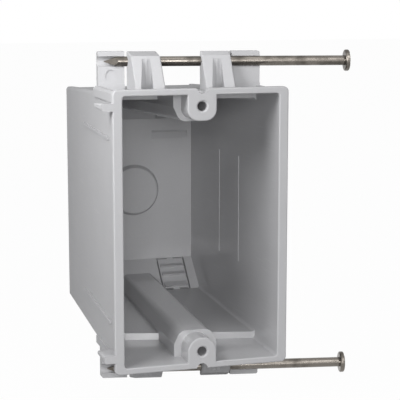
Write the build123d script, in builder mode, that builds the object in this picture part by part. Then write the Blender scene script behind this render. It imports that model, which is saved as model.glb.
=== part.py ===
import os
from math import cos, radians, sin, sqrt, tan

from build123d import *

os.makedirs("parts", exist_ok=True)

# Millimetres. X runs right, Y runs into the box from the plane of its rim, Z runs up.
# The origin is midway between the two device screw holes, on the plane of the rim.

# Rim and lip
rim_width = 60.7
rim_height = 95.2
rim_corner = 1.8
lip_depth = 2.2
lip_edge = 0.5
opening_edge = 0.45

# Outside of the box, which narrows towards the back
box_depth = 96.5
body_width = 57.5
body_height = 92.9
body_corner = 1.2
side_draft = 1.43
level_draft = 2.65

# Inside of the box
room_width = 54.1
room_height = 90.9
room_corner = 1.0
room_side_draft = 1.88
front_room_draft = 2.3
back_wall = 2.35
step_rise = 2.4
step_distance = 27.2
step_angle = 11.5

# Device screw bosses, their collars and the beams behind them
screw_spacing = 83.34
screw_hole_radius = 1.6
screw_hole_depth = 19.0
screw_hole_chamfer = 0.5
boss_width = 10.0
boss_reach = 4.85
upper_boss_corner = 3.8
lower_boss_corner = 4.9
collar_setback = 8.4
beam_width = 15.2
beam_top_width = 10.8
beam_shoulder = 4.8
beam_reach = 5.6
beam_draft = 1.9
collar_edge = 3.4
beam_edge = 1.2
buried_below_skin = 0.6
notch_radius = 1.9
notch_depth = 6.0

# Sloping corners at the back, with a pair of cable flaps in each
ramp_start = 28.5
ramp_wall = 2.2
ramp_cheek = 2.4
flap_inner = 8.9
flap_width = 11.7
flap_slot = 0.7
flap_bridge = 2.6
flap_slot_depth = 1.8
flap_tooth_height = 1.3
flap_tooth_inset = 1.2
flap_tooth_starts = (2.9, 6.7, 11.5)
flap_tooth_lengths = (1.9, 2.0, 2.6)

# Marks moulded into the walls
knockout_radius = 10.3
knockout_height = 2.0
knockout_slope = 28.0
knockout_edge = 0.6
back_groove_height = 3.3
back_groove_depth = 0.9
back_groove_crest = 0.9
back_groove_top = 23.8
back_groove_inner = 7.5
back_groove_width = 14.9
wall_rib_width = 0.6
wall_rib_proud = 0.18
wall_rib_length = 39.2
wall_rib_depths = (39.0, 59.8)
stud_rib_front_heights = (30.6, -32.6)
stud_rib_rear_heights = (31.2, -31.2)
stud_rib_start = 13.5
stud_rib_length = 45.0
stud_rib_width = 1.0
stud_rib_proud = 0.75

# Lugs that stand the rim off the stud
lug_height = 42.0
lug_front_height = 2.6
lug_rear_height = 1.4
lug_reach = 34.0
lug_depth = 10.5
lug_rounding = 0.35

# Nails, which lie at a slant so that their points run back into the stud
nail_angle = 11.0
nail_distance = 29.0
nail_height = 55.0
nail_length = 86.3
nail_radius = 1.725
nail_point_length = 5.0
nail_point_tip = 0.3
nail_tip_x = -25.4
nail_head_radius = 3.75
nail_head_thickness = 1.6
nail_head_edge = 0.45
nail_clearance = 0.05

# Nail holders: brackets in front of the nails, tabs on bases behind them, pads down the side walls
holder_top = 58.5
holder_root = 42.9
bracket_lefts = (-17.6, 7.5)
bracket_width = 10.1
bracket_foot = 19.2
bracket_foot_level = 45.4
bracket_crests = (26.6, 25.5)
bracket_crest_level = 57.1
bracket_edge = 0.5
pocket_least_depth = 0.5
pocket_top_width = 2.8
pocket_foot_width = 4.3
pocket_top = 56.1
pocket_foot = 45.8
pocket_rib = 0.5
pocket_rib_proud = 0.5
tab_inner = 18.4
left_tab_width = 9.0
right_tab_width = 9.8
tab_thickness = 2.5
tab_corner = 0.8
tab_base_top = 47.3
tab_base_proud = 0.4
side_pad_start = 1.0
side_pad_end = 1.8
side_pad_top = 46.5
side_pad_bevel = 0.9
dimple_radius = 2.1
dimple_depth = 0.4
dimple_height = 50.0


def at_depth(y):
    """The plane parallel to the rim at depth y, seen from the front."""
    return Plane.XZ.offset(-y)


def slanted(distance, angle):
    """An upright plane that crosses X = 0 at this depth and is deeper on the left."""
    turn = radians(angle)
    return Plane(
        origin=(0, distance, 0),
        x_dir=(cos(turn), -sin(turn), 0),
        z_dir=(-sin(turn), -cos(turn), 0),
    )


def nail_depth(x):
    """The depth of the nails' axes at this X."""
    return nail_distance - x * tan(radians(nail_angle))


def narrowed(size, degrees, depth):
    """A full width or height after it has narrowed on both sides over this depth."""
    return size - 2 * depth * tan(radians(degrees))


half_screw_spacing = screw_spacing / 2
inside_depth = box_depth - back_wall
rear_room_height = room_height - 2 * (step_rise + step_distance * tan(radians(front_room_draft)))
rear_room_height += 2 * step_distance * tan(radians(level_draft))
floor_fall = tan(radians(level_draft))
# The ramp is at 45 degrees, so depth plus height is the same all the way along it.
ramp_sum = inside_depth + ramp_start
ramp_foot = (ramp_sum - rear_room_height / 2) / (1 - floor_fall)
ramp_length = (inside_depth - ramp_foot) * sqrt(2)
pocket_sum = ramp_sum + ramp_wall * sqrt(2)
pocket_width = narrowed(body_width, side_draft, box_depth) - 2 * ramp_cheek
nail_plane = slanted(nail_distance, nail_angle)
nail_axis = (cos(radians(nail_angle)), -sin(radians(nail_angle)), 0)
boss_end = half_screw_spacing - boss_reach
boss_buried = (room_height + narrowed(body_height, level_draft, collar_setback)) / 4
beam_level = half_screw_spacing - beam_reach

# The room in front of the step, as tall as the rim's opening.
with BuildPart() as front_room:
    reach = step_distance + room_width
    with BuildSketch(at_depth(0)):
        RectangleRounded(room_width, room_height, room_corner)
    with BuildSketch(at_depth(reach)):
        RectangleRounded(
            narrowed(room_width, room_side_draft, reach),
            narrowed(room_height, front_room_draft, reach),
            room_corner,
        )
    loft()
    split(bisect_by=slanted(step_distance, step_angle), keep=Keep.TOP)

# The lower room behind the step, with its two back corners cut off by the ramps.
with BuildPart() as rear_room:
    with BuildSketch(at_depth(0)):
        RectangleRounded(room_width, rear_room_height, room_corner)
    with BuildSketch(at_depth(inside_depth)):
        RectangleRounded(
            narrowed(room_width, room_side_draft, inside_depth),
            narrowed(rear_room_height, level_draft, inside_depth),
            room_corner,
        )
    loft()
    for level in (-1, 1):
        with BuildSketch(Plane.YZ):
            with BuildLine():
                Polyline(
                    (inside_depth, level * ramp_start),
                    (inside_depth, level * room_height),
                    (ramp_sum - room_height, level * room_height),
                    close=True,
                )
            make_face()
        extrude(amount=room_width, both=True, mode=Mode.SUBTRACT)

# The space a nail takes, with its running clearance, used to cut the half-round grooves.
with BuildPart() as nail_room:
    with BuildSketch(Plane(origin=(0, nail_distance, nail_height), z_dir=nail_axis)):
        Circle(nail_radius + nail_clearance)
    extrude(amount=rim_width, both=True)

# Brackets, tabs and side pads at the top of the box. The lower set is their mirror image.
with BuildPart() as nail_holders:
    for left, crest in zip(bracket_lefts, bracket_crests):
        with BuildPart(mode=Mode.PRIVATE) as bracket:
            with BuildSketch(Plane.YZ.offset(left)):
                with BuildLine():
                    Polyline(
                        (bracket_foot, holder_root),
                        (bracket_foot, bracket_foot_level),
                        (crest, bracket_crest_level),
                        (nail_depth(left), holder_top),
                        (nail_depth(left), holder_root),
                        close=True,
                    )
                make_face()
            extrude(amount=bracket_width / cos(radians(nail_angle)), dir=nail_axis)
            for end in (0, -1):
                end_edges = bracket.faces().sort_by(Axis.X)[end].edges()
                fillet(end_edges.sort_by(Axis.Y)[:-1].sort_by(Axis.Z)[1:], bracket_edge)
            # A pocket in the sloping front, with a rib down the middle of its floor
            middle = left + bracket_width / 2
            across = middle / cos(radians(nail_angle))
            floor = slanted(crest - pocket_least_depth + left * tan(radians(nail_angle)), nail_angle)
            with BuildSketch(floor):
                with BuildLine():
                    Polyline(
                        (across - pocket_foot_width / 2, pocket_foot),
                        (across - pocket_top_width / 2, pocket_top),
                        (across + pocket_top_width / 2, pocket_top),
                        (across + pocket_foot_width / 2, pocket_foot),
                        close=True,
                    )
                make_face()
                with Locations((across, (pocket_top + pocket_foot) / 2)):
                    Rectangle(pocket_rib, pocket_top - pocket_foot, mode=Mode.SUBTRACT)
            extrude(amount=crest, mode=Mode.SUBTRACT)
            with BuildSketch(floor.offset(pocket_rib_proud)):
                with Locations((across, (pocket_top + pocket_foot) / 2)):
                    Rectangle(pocket_rib, pocket_top - pocket_foot)
            extrude(amount=crest, mode=Mode.SUBTRACT)
        add(bracket.part)
    for near, far in (
        (-tab_inner, -tab_inner - left_tab_width),
        (tab_inner, tab_inner + right_tab_width),
    ):
        for proud, top in ((0, holder_top), (tab_base_proud, tab_base_top)):
            with BuildSketch(Plane.XY.offset(holder_root)):
                with BuildLine():
                    Polyline(
                        (near, nail_depth(near) - proud),
                        (far, nail_depth(far) - proud),
                        (far, nail_depth(far) + tab_thickness),
                        (near, nail_depth(near) + tab_thickness),
                        close=True,
                    )
                make_face()
            extrude(amount=top - holder_root)
    for end in (0, -1):
        outer_edges = nail_holders.edges().filter_by(Axis.Y).group_by(Axis.X)[end]
        fillet(outer_edges.sort_by(Axis.Z)[-1], tab_corner)
    add(nail_room.part, mode=Mode.SUBTRACT)
    dimple_x = -(tab_inner + left_tab_width / 2)
    with BuildSketch(nail_plane):
        with Locations((dimple_x / cos(radians(nail_angle)), dimple_height)):
            Circle(dimple_radius)
    extrude(amount=-dimple_depth, mode=Mode.SUBTRACT)
    for side in (-1, 1):
        wall = side * body_width / 2
        pad_inner = side * room_width / 2
        with BuildSketch(at_depth(side_pad_start)):
            with BuildLine():
                Polyline(
                    (pad_inner, holder_root),
                    (pad_inner, side_pad_top),
                    (wall - side * side_pad_bevel, side_pad_top),
                    (wall, side_pad_top - side_pad_bevel),
                    (wall, holder_root),
                    close=True,
                )
            make_face()
        extrude(amount=side_pad_start - nail_depth(wall) - side_pad_end)
    mirror(about=Plane.XY)

# Beams along the floor and ceiling, one loft each, that start as the collars of the bosses.
with BuildPart() as beams:
    for depth, edge in ((collar_setback, collar_edge), (inside_depth, beam_edge)):
        level = beam_level - (depth - collar_setback) * tan(radians(beam_draft))
        buried = narrowed(body_height, level_draft, depth) / 2 - buried_below_skin
        with BuildSketch(at_depth(depth)) as beam_section:
            with BuildLine():
                Polyline(
                    (-beam_top_width / 2, level),
                    (-beam_width / 2, level + beam_shoulder),
                    (-beam_width / 2, buried),
                    (beam_width / 2, buried),
                    (beam_width / 2, level + beam_shoulder),
                    (beam_top_width / 2, level),
                    close=True,
                )
            make_face()
            for corners in beam_section.vertices().group_by(Axis.Y)[:2]:
                fillet(corners, edge)
    loft()
    mirror(about=Plane.XY)

with BuildPart() as box:
    # Body, lip and the lugs on the stud side
    with BuildSketch(at_depth(0)):
        RectangleRounded(body_width, body_height, body_corner)
    with BuildSketch(at_depth(box_depth)):
        RectangleRounded(
            narrowed(body_width, side_draft, box_depth),
            narrowed(body_height, level_draft, box_depth),
            body_corner,
        )
    loft()
    with BuildSketch(at_depth(0)):
        RectangleRounded(rim_width, rim_height, rim_corner)
    extrude(amount=-lip_depth)
    fillet(box.faces().sort_by(Axis.Y)[0].edges(), lip_edge)
    for height in (-lug_height, lug_height):
        for depth, lug_section in ((0, lug_front_height), (lug_depth, lug_rear_height)):
            with BuildSketch(at_depth(depth)) as lug_face:
                with Locations((-(lug_reach + room_width / 2) / 2, height)):
                    Rectangle(lug_reach - room_width / 2, lug_section)
                fillet(lug_face.vertices().group_by(Axis.X)[0], lug_section * lug_rounding)
        loft()
    add(nail_holders.part)
    # Room inside
    add(front_room.part, mode=Mode.SUBTRACT)
    add(rear_room.part, mode=Mode.SUBTRACT)
    # Bosses and beams
    for side in (-1, 1):
        with BuildSketch(at_depth(0)) as boss_face:
            with Locations((0, side * (boss_end + boss_buried) / 2)):
                Rectangle(boss_width, boss_buried - boss_end)
            free_corners = boss_face.vertices().sort_by(lambda corner: side * corner.Y)[:2]
            fillet(free_corners, upper_boss_corner if side > 0 else lower_boss_corner)
        extrude(amount=-collar_setback)
    add(beams.part)
    opening = box.faces().sort_by(Axis.Y)[0].inner_wires().sort_by(SortBy.LENGTH)[-1]
    fillet(opening.edges(), opening_edge)
    # Device screw holes, and the notches in the rim above and below them
    with Locations(at_depth(0)):
        with Locations((0, -half_screw_spacing), (0, half_screw_spacing)):
            CounterSinkHole(
                screw_hole_radius,
                screw_hole_radius + screw_hole_chamfer,
                depth=screw_hole_depth,
                counter_sink_angle=90,
            )
    with BuildSketch(at_depth(0)):
        with Locations((0, -rim_height / 2), (0, rim_height / 2)):
            Circle(notch_radius)
    extrude(amount=-notch_depth, mode=Mode.SUBTRACT)
    # Wedge pockets outside the ramps, between the side walls
    for level in (-1, 1):
        with BuildSketch(Plane.YZ):
            with BuildLine():
                Polyline(
                    (box_depth + 1, level * (pocket_sum - box_depth - 1)),
                    (box_depth + 1, level * body_height),
                    (pocket_sum - body_height, level * body_height),
                    close=True,
                )
            make_face()
        extrude(amount=pocket_width / 2, both=True, mode=Mode.SUBTRACT)
    # Cable flaps: a slot all round each, left closed at two bridges, and teeth across it
    for level in (-1, 1):
        for side in (-1, 1):
            flap = Plane(
                origin=(side * (flap_inner + flap_width / 2), inside_depth, level * ramp_start),
                x_dir=(-level, 0, 0),
                z_dir=(0, -1, -level),
            )
            with BuildSketch(flap):
                with Locations((0, -ramp_length / 2)):
                    Rectangle(flap_width, ramp_length)
                    Rectangle(flap_width - 2 * flap_slot, ramp_length - 2 * flap_slot, mode=Mode.SUBTRACT)
                    Rectangle(flap_bridge, ramp_length, mode=Mode.SUBTRACT)
            extrude(amount=flap_slot_depth, both=True, mode=Mode.SUBTRACT)
            tooth_plane = Plane(
                origin=flap.from_local_coords((-flap_width / 2 + flap_tooth_inset, 0, 0)),
                x_dir=-flap.y_dir,
                z_dir=flap.x_dir,
            )
            for start, length in zip(flap_tooth_starts, flap_tooth_lengths):
                with BuildSketch(tooth_plane):
                    with BuildLine():
                        Polyline(
                            (start, 0),
                            (start + length, flap_tooth_height * tooth_plane.y_dir.dot(flap.z_dir)),
                            (start + length, 0),
                            close=True,
                        )
                    make_face()
                extrude(amount=flap_width - 2 * flap_tooth_inset)
    # Round knockout: a raised disc with sloping sides on the back wall
    with BuildSketch(at_depth(inside_depth)):
        Circle(knockout_radius)
    extrude(amount=knockout_height, taper=knockout_slope)
    disc_middle = (0, inside_depth - knockout_height, 0)
    fillet(box.faces().filter_by(Axis.Y).sort_by_distance(disc_middle)[0].edges(), knockout_edge)
    # Shallow grooves below the upper ramp
    for side in (-1, 1):
        start = min(side * back_groove_inner, side * (back_groove_inner + back_groove_width))
        with BuildSketch(Plane.YZ.offset(start)):
            with BuildLine():
                Polyline(
                    (inside_depth, back_groove_top),
                    (inside_depth + back_groove_depth, back_groove_top - back_groove_crest),
                    (inside_depth, back_groove_top - back_groove_height),
                    close=True,
                )
            make_face()
        extrude(amount=back_groove_width, mode=Mode.SUBTRACT)
    # Thin upright ribs on both side walls inside
    for depth in wall_rib_depths:
        wall_x = narrowed(room_width, room_side_draft, depth) / 2
        with BuildSketch(at_depth(depth - wall_rib_width / 2)):
            with Locations((-wall_x, 0), (wall_x, 0)):
                Rectangle(2 * wall_rib_proud, wall_rib_length)
        extrude(amount=-wall_rib_width)
    # Long ribs outside on the stud side
    for front_height, rear_height in zip(stud_rib_front_heights, stud_rib_rear_heights):
        for depth, height in (
            (stud_rib_start, front_height),
            (stud_rib_start + stud_rib_length, rear_height),
        ):
            with BuildSketch(at_depth(depth)):
                with Locations((-narrowed(body_width, side_draft, depth) / 2, height)):
                    Rectangle(2 * stud_rib_proud, stud_rib_width)
        loft()


def make_nail(height):
    """A round nail with a flat head and a four-sided point, along the slanted axis at this height."""
    tip = (nail_tip_x, nail_depth(nail_tip_x), height)
    point_plane = Plane(origin=tip, x_dir=(0, 0, 1), z_dir=nail_axis)
    shank_plane = point_plane.offset(nail_point_length)
    head_plane = point_plane.offset(nail_length - nail_head_thickness)
    with BuildPart() as nail:
        with BuildSketch(point_plane):
            Circle(nail_radius)
        extrude(amount=nail_point_length)
        with BuildSketch(point_plane):
            Rectangle(nail_point_tip, nail_point_tip)
        with BuildSketch(shank_plane):
            Rectangle(2 * nail_radius, 2 * nail_radius)
        loft(mode=Mode.INTERSECT)
        with BuildSketch(shank_plane):
            Circle(nail_radius)
        extrude(amount=nail_length - nail_point_length - nail_head_thickness)
        with BuildSketch(head_plane):
            Circle(nail_head_radius)
        extrude(amount=nail_head_thickness)
        fillet(nail.edges().filter_by(GeomType.CIRCLE).group_by(SortBy.RADIUS)[-1], nail_head_edge)
    return nail.part


upper_nail = make_nail(nail_height)
lower_nail = make_nail(-nail_height)

box.part.label = "box"
export_step(box.part, "parts/box.step")
upper_nail.label = "upper_nail"
export_step(upper_nail, "parts/upper_nail.step")
lower_nail.label = "lower_nail"
export_step(lower_nail, "parts/lower_nail.step")
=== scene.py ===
"""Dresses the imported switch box: moulded grey PVC, drawn steel nails and plain studio light."""

import logging
import math
from dataclasses import dataclass, field
from enum import Enum, IntEnum

import bpy
from mathutils import Euler, Matrix, Vector


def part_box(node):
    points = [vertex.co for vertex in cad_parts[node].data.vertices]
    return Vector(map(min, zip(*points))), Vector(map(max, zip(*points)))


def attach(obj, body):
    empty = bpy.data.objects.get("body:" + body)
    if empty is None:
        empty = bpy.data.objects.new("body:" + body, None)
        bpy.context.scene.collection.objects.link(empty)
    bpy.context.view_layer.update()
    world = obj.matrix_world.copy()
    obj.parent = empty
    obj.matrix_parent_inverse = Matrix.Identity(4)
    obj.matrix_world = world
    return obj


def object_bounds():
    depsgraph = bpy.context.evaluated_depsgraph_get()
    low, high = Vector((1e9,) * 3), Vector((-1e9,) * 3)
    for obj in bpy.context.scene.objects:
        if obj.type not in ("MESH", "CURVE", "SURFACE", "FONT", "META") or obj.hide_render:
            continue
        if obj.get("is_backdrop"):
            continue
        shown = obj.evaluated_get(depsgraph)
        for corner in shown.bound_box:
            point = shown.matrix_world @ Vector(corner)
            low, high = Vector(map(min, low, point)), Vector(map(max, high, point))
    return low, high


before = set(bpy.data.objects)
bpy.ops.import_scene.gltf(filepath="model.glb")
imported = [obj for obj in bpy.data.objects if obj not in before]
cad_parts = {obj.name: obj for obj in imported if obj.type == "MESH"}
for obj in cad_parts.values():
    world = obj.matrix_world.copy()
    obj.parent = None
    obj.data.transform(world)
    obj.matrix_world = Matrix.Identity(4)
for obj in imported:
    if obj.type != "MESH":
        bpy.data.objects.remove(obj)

log = logging.getLogger("switch_box")

Colour = tuple[float, float, float, float]
Tree = bpy.types.NodeTree
Socket = bpy.types.NodeSocket

MM = 0.001
WHITE: Colour = (1.0, 1.0, 1.0, 1.0)
BLACK: Colour = (0.0, 0.0, 0.0, 1.0)
NAIL_SLANT_DEGREES = 11.0


class Level(Enum):
    """Which of the two nails a piece belongs to."""

    UPPER = "upper_nail"
    LOWER = "lower_nail"


class MixSocket(IntEnum):
    """Places of the Mix node's inputs, whose names repeat for each kind of value."""

    SHARE = 0
    FIRST_NUMBER = 2
    SECOND_NUMBER = 3
    FIRST_COLOUR = 6
    SECOND_COLOUR = 7


class MixResult(IntEnum):
    """Places of the Mix node's outputs."""

    NUMBER = 0
    COLOUR = 2


def hex_to_linear(code: str) -> Colour:
    """Turns an sRGB hex colour into linear light.

    Args:
        code: Six hex digits with a leading hash.

    Returns:
        Linear red, green and blue, and an alpha of 1.
    """
    parts = [int(code[i : i + 2], 16) / 255 for i in (1, 3, 5)]
    linear = [p / 12.92 if p <= 0.04045 else ((p + 0.055) / 1.055) ** 2.4 for p in parts]
    return (linear[0], linear[1], linear[2], 1.0)


def add_node(
    tree: Tree,
    kind: str,
    inputs: dict[str | int, object] | None = None,
    **settings: object,
) -> bpy.types.Node:
    """Adds one node with its settings and links.

    Args:
        tree: The node tree that gets the node.
        kind: The node's Blender type name.
        inputs: Input name or number, and either the socket to link or the value to set.
        **settings: The node's own options.

    Returns:
        The new node.
    """
    node = tree.nodes.new(kind)
    for name, value in settings.items():
        setattr(node, name, value)
    for name, value in (inputs or {}).items():
        if isinstance(value, bpy.types.NodeSocket):
            tree.links.new(value, node.inputs[name])
        else:
            node.inputs[name].default_value = value
    return node


def calculate(tree: Tree, operation: str, *values: Socket | float) -> Socket:
    """Does one sum on numbers.

    Args:
        tree: The node tree.
        operation: Blender's name for the sum.
        *values: The sockets or numbers that it works on, in order.

    Returns:
        The result.
    """
    return add_node(tree, "ShaderNodeMath", dict(enumerate(values)), operation=operation).outputs[0]


def remap(tree: Tree, value: Socket, old: tuple[float, float], new: tuple[float, float]) -> Socket:
    """Maps one span of a value onto another and stops at its ends.

    Args:
        tree: The node tree.
        value: What is mapped.
        old: The ends of the span that is read.
        new: What those ends become.

    Returns:
        The mapped value.
    """
    ends = {1: old[0], 2: old[1], 3: new[0], 4: new[1]}
    return add_node(tree, "ShaderNodeMapRange", {0: value} | ends).outputs[0]


def mix_colours(tree: Tree, share: Socket, first: Socket | Colour, second: Colour) -> Socket:
    """Mixes two colours.

    Args:
        tree: The node tree.
        share: How much of the second colour there is, from 0 to 1.
        first: The colour where the share is 0.
        second: The colour where the share is 1.

    Returns:
        The mixed colour.
    """
    inputs = {
        MixSocket.SHARE: share,
        MixSocket.FIRST_COLOUR: first,
        MixSocket.SECOND_COLOUR: second,
    }
    return add_node(tree, "ShaderNodeMix", inputs, data_type="RGBA").outputs[MixResult.COLOUR]


def noise(
    tree: Tree, place: Socket, size_mm: float, detail: float, roughness: float = 0.5
) -> Socket:
    """Adds cloudy noise of one size.

    Args:
        tree: The node tree.
        place: The coordinates that it follows.
        size_mm: How large its clouds are.
        detail: How many finer layers it has.
        roughness: How strong the finer layers are.

    Returns:
        The noise, from 0 to 1.
    """
    inputs = {
        "Vector": place,
        "Scale": 1 / (size_mm * MM),
        "Detail": detail,
        "Roughness": roughness,
    }
    return add_node(tree, "ShaderNodeTexNoise", inputs).outputs["Fac"]


def stretched_noise(
    tree: Tree, place: Socket, sizes_mm: tuple[float, float, float], detail: float
) -> Socket:
    """Adds noise that has its own size along each axis.

    Args:
        tree: The node tree.
        place: The coordinates that it follows.
        sizes_mm: How large its clouds are along X, Y and Z.
        detail: How many finer layers it has.

    Returns:
        The noise, from 0 to 1.
    """
    scale = tuple(1 / (size * MM) for size in sizes_mm)
    space = add_node(tree, "ShaderNodeMapping", {"Vector": place, "Scale": scale})
    inputs = {"Vector": space.outputs["Vector"], "Scale": 1.0, "Detail": detail}
    return add_node(tree, "ShaderNodeTexNoise", inputs).outputs["Fac"]


def relief(tree: Tree, height: Socket, rise_mm: float, under: Socket | None = None) -> Socket:
    """Turns a pattern into small relief.

    Args:
        tree: The node tree.
        height: The pattern, from 0 to 1.
        rise_mm: How high the pattern's top stands.
        under: The relief that it lies on, if any.

    Returns:
        The surface's normal.
    """
    inputs = {"Height": height, "Strength": 1.0, "Distance": rise_mm * MM}
    if under is not None:
        inputs["Normal"] = under
    return add_node(tree, "ShaderNodeBump", inputs).outputs["Normal"]


def seen_by_eye(tree: Tree) -> Socket:
    """Tells rays that show a thing, straight, in gloss or through glass, from rays that only light.

    Args:
        tree: The node tree.

    Returns:
        A socket that is 1 for rays that show a thing and 0 for the others.
    """
    rays = add_node(tree, "ShaderNodeLightPath").outputs
    seen = calculate(tree, "MAXIMUM", rays["Is Camera Ray"], rays["Is Glossy Ray"])
    return calculate(tree, "MAXIMUM", seen, rays["Is Transmission Ray"])


def new_material(name: str) -> tuple[bpy.types.Material, Tree]:
    """Makes an empty node material.

    Args:
        name: The material's name.

    Returns:
        The material and its node tree.
    """
    material = bpy.data.materials.new(name)
    material.use_nodes = True
    material.node_tree.nodes.clear()
    return material, material.node_tree


def dress(piece: bpy.types.Object, material: bpy.types.Material) -> None:
    """Gives a piece one material all over.

    Args:
        piece: The mesh object.
        material: What it is made of.
    """
    if not piece.material_slots:
        piece.data.materials.append(material)
    for material_slot in piece.material_slots:
        material_slot.material = material


@dataclass(frozen=True)
class MouldedPvc:
    """Grey moulded PVC: matt outside from a blasted cavity, glossy inside from a polished core."""

    name: str = "moulded_grey_pvc"
    colour: str = "#B3B3B5"
    refraction: float = 1.53
    gloss_level: float = 0.4
    matt_roughness: float = 0.95
    core_roughness: tuple[float, float] = (0.09, 0.16)
    # Flow mottle: soft lighter and darker clouds where the melt ran and cooled.
    flow_colour: str = "#AEAEB0"
    flow_size_mm: float = 14.0
    flow_detail: float = 3.0
    flow_strength: float = 0.55
    flow_span: tuple[float, float] = (0.3, 0.7)
    # Drag lines run into the box, the way the mould's core was pulled out.
    scuff_colour: str = "#BBBBBD"
    scuff_span: tuple[float, float] = (0.60, 0.80)
    scuff_share: float = 0.55
    drag_width_mm: float = 0.5
    drag_length_mm: float = 26.0
    drag_detail: float = 2.0
    drag_height_mm: float = 0.01
    # Grain: the fine unevenness of the moulded skin.
    grain_size_mm: float = 0.45
    grain_detail: float = 2.0
    grain_height_mm: float = 0.012
    # The planes between the room inside and the outside, each within the wall's thickness.
    rim_depth_mm: float = 0.5
    back_depth_mm: float = 95.3
    room_half_width_mm: float = 27.8
    side_draft_degrees: float = 1.6
    room_half_height_mm: float = 45.95
    level_draft_degrees: float = 2.9
    ramp_sum_mm: float = 125.4
    ramp_degrees: float = 45.0

    def make(self) -> bpy.types.Material:
        """Builds the material.

        Returns:
            The material.
        """
        material, tree = new_material(self.name)
        place = add_node(tree, "ShaderNodeTexCoord").outputs["Object"]
        flow = noise(tree, place, self.flow_size_mm, self.flow_detail, self.flow_strength)
        drag_sizes_mm = (self.drag_width_mm, self.drag_length_mm, self.drag_width_mm)
        drag = stretched_noise(tree, place, drag_sizes_mm, self.drag_detail)
        grain = noise(tree, place, self.grain_size_mm, self.grain_detail)

        colour = mix_colours(
            tree, flow, hex_to_linear(self.colour), hex_to_linear(self.flow_colour)
        )
        scuffs = remap(tree, drag, self.scuff_span, (0.0, self.scuff_share))
        colour = mix_colours(tree, scuffs, colour, hex_to_linear(self.scuff_colour))

        roughness = add_node(
            tree,
            "ShaderNodeMix",
            {
                MixSocket.SHARE: self._inside(tree, place),
                MixSocket.FIRST_NUMBER: self.matt_roughness,
                MixSocket.SECOND_NUMBER: remap(tree, flow, self.flow_span, self.core_roughness),
            },
        )
        skin = relief(tree, grain, self.grain_height_mm)
        shader = add_node(
            tree,
            "ShaderNodeBsdfPrincipled",
            {
                "Base Color": colour,
                "Roughness": roughness.outputs[MixResult.NUMBER],
                "Normal": relief(tree, drag, self.drag_height_mm, skin),
                "IOR": self.refraction,
                "Specular IOR Level": self.gloss_level,
            },
        )
        add_node(tree, "ShaderNodeOutputMaterial", {"Surface": shader.outputs["BSDF"]})
        return material

    def _inside(self, tree: Tree, place: Socket) -> Socket:
        """Tells the walls of the room, which the core shaped, from the outside of the box.

        Args:
            tree: The material's node tree.
            place: Object coordinates.

        Returns:
            A socket that is 1 within the room and 0 outside it.
        """
        sizes = add_node(tree, "ShaderNodeVectorMath", {0: place}, operation="ABSOLUTE").outputs[0]
        apart = add_node(tree, "ShaderNodeSeparateXYZ", {0: sizes}).outputs
        middle_mm = (self.rim_depth_mm + self.back_depth_mm) / 2
        reach_mm = (self.back_depth_mm - self.rim_depth_mm) / 2
        within = calculate(tree, "COMPARE", apart["Y"], middle_mm * MM, reach_mm * MM)
        for axis, half_mm, slope_degrees in (
            ("X", self.room_half_width_mm, self.side_draft_degrees),
            ("Z", self.room_half_height_mm, self.level_draft_degrees),
            ("Z", self.ramp_sum_mm, self.ramp_degrees),
        ):
            slope = math.tan(math.radians(slope_degrees))
            at_rim = calculate(tree, "MULTIPLY_ADD", apart["Y"], slope, apart[axis])
            near = calculate(tree, "LESS_THAN", at_rim, half_mm * MM)
            within = calculate(tree, "MULTIPLY", within, near)
        return within


@dataclass(frozen=True)
class DrawnSteel:
    """Bright drawn steel wire: fine lines along the nail, a warm tint and dull patches."""

    name: str = "drawn_nail_steel"
    colour: str = "#78736D"
    dull_colour: str = "#56524D"
    roughness: tuple[float, float] = (0.24, 0.42)
    line_width_mm: float = 0.35
    line_length_mm: float = 24.0
    line_detail: float = 3.0
    line_height_mm: float = 0.012
    patch_size_mm: float = 5.0
    patch_detail: float = 4.0
    patch_span: tuple[float, float] = (0.42, 0.66)

    def make(self) -> bpy.types.Material:
        """Builds the material.

        Returns:
            The material.
        """
        material, tree = new_material(self.name)
        place = add_node(tree, "ShaderNodeTexCoord").outputs["Object"]
        turn = (0.0, 0.0, math.radians(NAIL_SLANT_DEGREES))
        along = add_node(tree, "ShaderNodeMapping", {"Vector": place, "Rotation": turn})
        # Die lines: long and thin along the wire.
        line_sizes_mm = (self.line_length_mm, self.line_width_mm, self.line_width_mm)
        lines = stretched_noise(tree, along.outputs["Vector"], line_sizes_mm, self.line_detail)
        patches = noise(tree, place, self.patch_size_mm, self.patch_detail)
        dull = remap(tree, patches, self.patch_span, (0.0, 1.0))
        shader = add_node(
            tree,
            "ShaderNodeBsdfPrincipled",
            {
                "Base Color": mix_colours(
                    tree, dull, hex_to_linear(self.colour), hex_to_linear(self.dull_colour)
                ),
                "Metallic": 1.0,
                "Roughness": remap(tree, dull, (0.0, 1.0), self.roughness),
                "Normal": relief(tree, lines, self.line_height_mm),
            },
        )
        add_node(tree, "ShaderNodeOutputMaterial", {"Surface": shader.outputs["BSDF"]})
        return material


@dataclass(frozen=True)
class PaleFloor:
    """White paper sweep: it shows white to the eye and in gloss, and keeps a faint shadow."""

    name: str = "pale_paper"
    colour: str = "#B4B4B4"
    shadow_share: float = 0.02

    def make(self) -> bpy.types.Material:
        """Builds the material.

        Returns:
            The material.
        """
        material, tree = new_material(self.name)
        share = calculate(tree, "MULTIPLY", seen_by_eye(tree), 1.0 - self.shadow_share)
        paper = add_node(tree, "ShaderNodeBsdfDiffuse", {"Color": hex_to_linear(self.colour)})
        white = add_node(tree, "ShaderNodeEmission", {"Color": WHITE, "Strength": 1.0})
        surface = add_node(
            tree,
            "ShaderNodeMixShader",
            {0: share, 1: paper.outputs["BSDF"], 2: white.outputs["Emission"]},
        )
        add_node(tree, "ShaderNodeOutputMaterial", {"Surface": surface.outputs["Shader"]})
        return material


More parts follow.
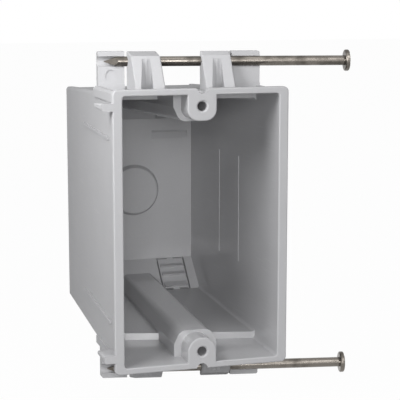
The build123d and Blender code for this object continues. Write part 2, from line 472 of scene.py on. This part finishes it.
@dataclass
class SwitchBox:
    """The moulded box, its rim, beams, flaps, brackets and tabs: one CAD node."""

    node: str = "box"
    finish: MouldedPvc = field(default_factory=MouldedPvc)

    def build(self) -> None:
        """Gives the moulding its PVC."""
        dress(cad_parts[self.node], self.finish.make())
        log.info("%s: %s", self.node, self.finish.name)


@dataclass
class CaptiveNail:
    """One slanted nail: the CAD shank and head, and the grip marks pressed below the head."""

    level: Level
    shank_radius_mm: float = 1.725
    crossing_y_mm: float = 29.0
    head_radius_mm: float = 3.75
    head_thickness_mm: float = 1.6
    marks: int = 9
    first_mark_mm: float = 3.2
    mark_pitch_mm: float = 1.05
    mark_length_mm: float = 0.55
    mark_proud_mm: float = 0.045
    mark_arc_degrees: float = 64.0
    mark_turn_degrees: float = 35.0
    mark_sides: int = 32
    # The ends of each mark lie this share of the radius out, so they are within the shank.
    mark_root_share: float = 0.985
    # Points closer than this to a mark's middle are on its crest.
    crest_reach_mm: float = 0.01

    def axis(self) -> Vector:
        """The way along the nail from its point to its head."""
        turn = math.radians(NAIL_SLANT_DEGREES)
        return Vector((math.cos(turn), -math.sin(turn), 0.0))

    def underside(self) -> Vector:
        """Finds the centre of the head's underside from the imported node's own corners.

        Returns:
            The centre, in metres.
        """
        low, high = (Vector(corner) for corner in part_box(self.level.value))
        axis = self.axis()
        head_centre_x = high.x - self.head_radius_mm * MM * abs(axis.y)
        under_x = head_centre_x - self.head_thickness_mm * MM * axis.x
        under_y = self.crossing_y_mm * MM + under_x / axis.x * axis.y
        return Vector((under_x, under_y, (low.z + high.z) / 2))

    def build(self, steel: bpy.types.Material) -> None:
        """Dresses the nail and adds its grip marks.

        Args:
            steel: The wire's material.
        """
        dress(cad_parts[self.level.value], steel)
        marks = self._grip_marks()
        dress(marks, steel)
        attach(marks, self.level.value)
        log.info("%s: drawn steel with %d grip marks a side", self.level.value, self.marks)

    def _grip_marks(self) -> bpy.types.Object:
        """Models the row of marks as one piece.

        Returns:
            The piece, with its origin at the object's.
        """
        bands = [self._mark(number) for number in range(self.marks)]
        bpy.ops.object.select_all(action="DESELECT")
        for band in bands:
            band.select_set(True)
        bpy.context.view_layer.objects.active = bands[0]
        bpy.ops.object.join()
        row = bpy.context.view_layer.objects.active
        row.name = self.level.value + "_grip_marks"
        row.data.name = row.name
        bpy.ops.object.transform_apply(location=True, rotation=True, scale=True)
        return row

    def _mark(self, number: int) -> bpy.types.Object:
        """Models one band round the shank, proud only where the gripping dies pressed it.

        Args:
            number: Its place in the row, counted from the head.

        Returns:
            The band, turned to lie along the nail.
        """
        bpy.ops.object.select_all(action="DESELECT")
        bpy.ops.mesh.primitive_cylinder_add(
            vertices=self.mark_sides,
            radius=self.shank_radius_mm * MM,
            depth=self.mark_length_mm * MM,
            location=(0.0, 0.0, 0.0),
        )
        band = bpy.context.active_object
        bpy.ops.object.mode_set(mode="EDIT")
        bpy.ops.mesh.select_all(action="SELECT")
        bpy.ops.mesh.bisect(plane_co=(0, 0, 0), plane_no=(0, 0, 1))
        bpy.ops.object.mode_set(mode="OBJECT")
        for vertex in band.data.vertices:
            grown = self._growth(vertex.co)
            vertex.co.x *= grown
            vertex.co.y *= grown
        axis = self.axis()
        from_head_mm = self.first_mark_mm + number * self.mark_pitch_mm
        centre = Matrix.Translation(self.underside() - axis * (from_head_mm * MM))
        lie_along = axis.to_track_quat("Z", "Y").to_matrix().to_4x4()
        die_turn = Matrix.Rotation(math.radians(self.mark_turn_degrees), 4, "Z")
        band.matrix_world = centre @ lie_along @ die_turn
        return band

    def _growth(self, point: Vector) -> float:
        """Says how far out a point of a mark goes.

        Args:
            point: The point on the plain band.

        Returns:
            Its distance from the axis as a share of the shank's radius.
        """
        if abs(point.z) >= self.crest_reach_mm * MM:
            return self.mark_root_share
        half_arc = math.radians(self.mark_arc_degrees) / 2
        bearing = abs(math.atan2(point.y, abs(point.x)))
        share = max(0.0, math.cos(min(bearing / half_arc, 1.0) * math.pi / 2))
        return 1 + self.mark_proud_mm / self.shank_radius_mm * share


@dataclass(frozen=True)
class Lamp:
    """One soft square lamp that faces the middle of the object."""

    name: str
    azimuth: float
    elevation: float
    distance: float
    size: float
    power: float

    def place(self, target: Vector) -> None:
        """Sets the lamp up.

        Args:
            target: The point that it faces.
        """
        data = bpy.data.lights.new(self.name, "AREA")
        data.shape = "SQUARE"
        data.size = self.size
        data.energy = self.power
        lamp = bpy.data.objects.new(self.name, data)
        bpy.context.scene.collection.objects.link(lamp)
        turn, rise = math.radians(self.azimuth), math.radians(self.elevation)
        out = Vector(
            (math.sin(turn) * math.cos(rise), -math.cos(turn) * math.cos(rise), math.sin(rise))
        )
        lamp.location = target + out * self.distance
        lamp.rotation_euler = (-out).to_track_quat("-Z", "Y").to_euler()


@dataclass
class Studio:
    """The pale floor, the soft lamps, the white surroundings and the camera."""

    floor_finish: PaleFloor = field(default_factory=PaleFloor)
    floor_width: float = 6.0
    floor_gap: float = 0.0002
    # Name, azimuth, elevation, distance, size and power.
    lamps: tuple[Lamp, ...] = (
        Lamp("side_lamp", -84.0, 13.0, 1.0, 0.25, 1.9),
        Lamp("front_lamp", -14.0, 10.0, 1.0, 0.3, 5.0),
        Lamp("right_lamp", 20.0, 38.0, 1.0, 0.5, 2.9),
        Lamp("top_lamp", -5.0, 76.0, 0.9, 0.35, 0.6),
        Lamp("near_lamp", -60.0, 39.0, 0.20, 0.08, 0.27),
        Lamp("back_lamp", 122.0, 4.0, 1.0, 0.4, 2.6),
    )
    lamp_target: tuple[float, float, float] = (0.0, 0.03, 0.0)
    camera_place: tuple[float, float, float] = (-0.12640, -0.41161, 0.07980)
    camera_yaw: float = 16.96
    camera_pitch: float = 9.15
    lens_mm: float = 117.9
    sensor_mm: float = 36.0
    nearest_seen: float = 0.01
    farthest_seen: float = 20.0

    def build(self) -> None:
        """Sets up everything that isn't part of the object."""
        low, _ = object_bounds()
        self._floor(low[2])
        for lamp in self.lamps:
            lamp.place(Vector(self.lamp_target))
        self._surroundings()
        self._camera()
        bpy.context.scene.view_settings.view_transform = "Standard"
        log.info("studio: %d lamps", len(self.lamps))

    def _floor(self, height: float) -> None:
        """Lays a wide sheet of pale paper under the object.

        Args:
            height: The object's lowest point.
        """
        bpy.ops.object.select_all(action="DESELECT")
        bpy.ops.mesh.primitive_plane_add(
            size=self.floor_width, location=(0.0, 0.0, height - self.floor_gap)
        )
        floor = bpy.context.active_object
        floor.name = "floor"
        bpy.ops.object.transform_apply(location=True, rotation=True, scale=True)
        dress(floor, self.floor_finish.make())
        floor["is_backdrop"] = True

    def _surroundings(self) -> None:
        """Makes the surroundings show white and give no light of their own."""
        world = bpy.data.worlds.new("studio_room")
        bpy.context.scene.world = world
        world.use_nodes = True
        tree = world.node_tree
        tree.nodes.clear()
        unlit = add_node(tree, "ShaderNodeBackground", {"Color": BLACK, "Strength": 1.0})
        white = add_node(tree, "ShaderNodeBackground", {"Color": WHITE, "Strength": 1.0})
        surface = add_node(
            tree,
            "ShaderNodeMixShader",
            {0: seen_by_eye(tree), 1: unlit.outputs["Background"], 2: white.outputs["Background"]},
        )
        add_node(tree, "ShaderNodeOutputWorld", {"Surface": surface.outputs["Shader"]})

    def _camera(self) -> None:
        """Stands the camera where the photographer stood."""
        data = bpy.data.cameras.new("camera")
        data.lens = self.lens_mm
        data.sensor_width = self.sensor_mm
        data.clip_start = self.nearest_seen
        data.clip_end = self.farthest_seen
        camera = bpy.data.objects.new("camera", data)
        bpy.context.scene.collection.objects.link(camera)
        camera.location = self.camera_place
        camera.rotation_euler = Euler(
            (math.radians(90.0 - self.camera_pitch), 0.0, math.radians(-self.camera_yaw)), "XYZ"
        )
        bpy.context.scene.camera = camera


def main() -> None:
    """Builds the pieces in order."""
    logging.basicConfig(level=logging.INFO, format="%(name)s: %(message)s")
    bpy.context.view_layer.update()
    SwitchBox().build()
    steel = DrawnSteel().make()
    for level in Level:
        CaptiveNail(level).build(steel)
    Studio().build()


if __name__ == "__main__":
    main()
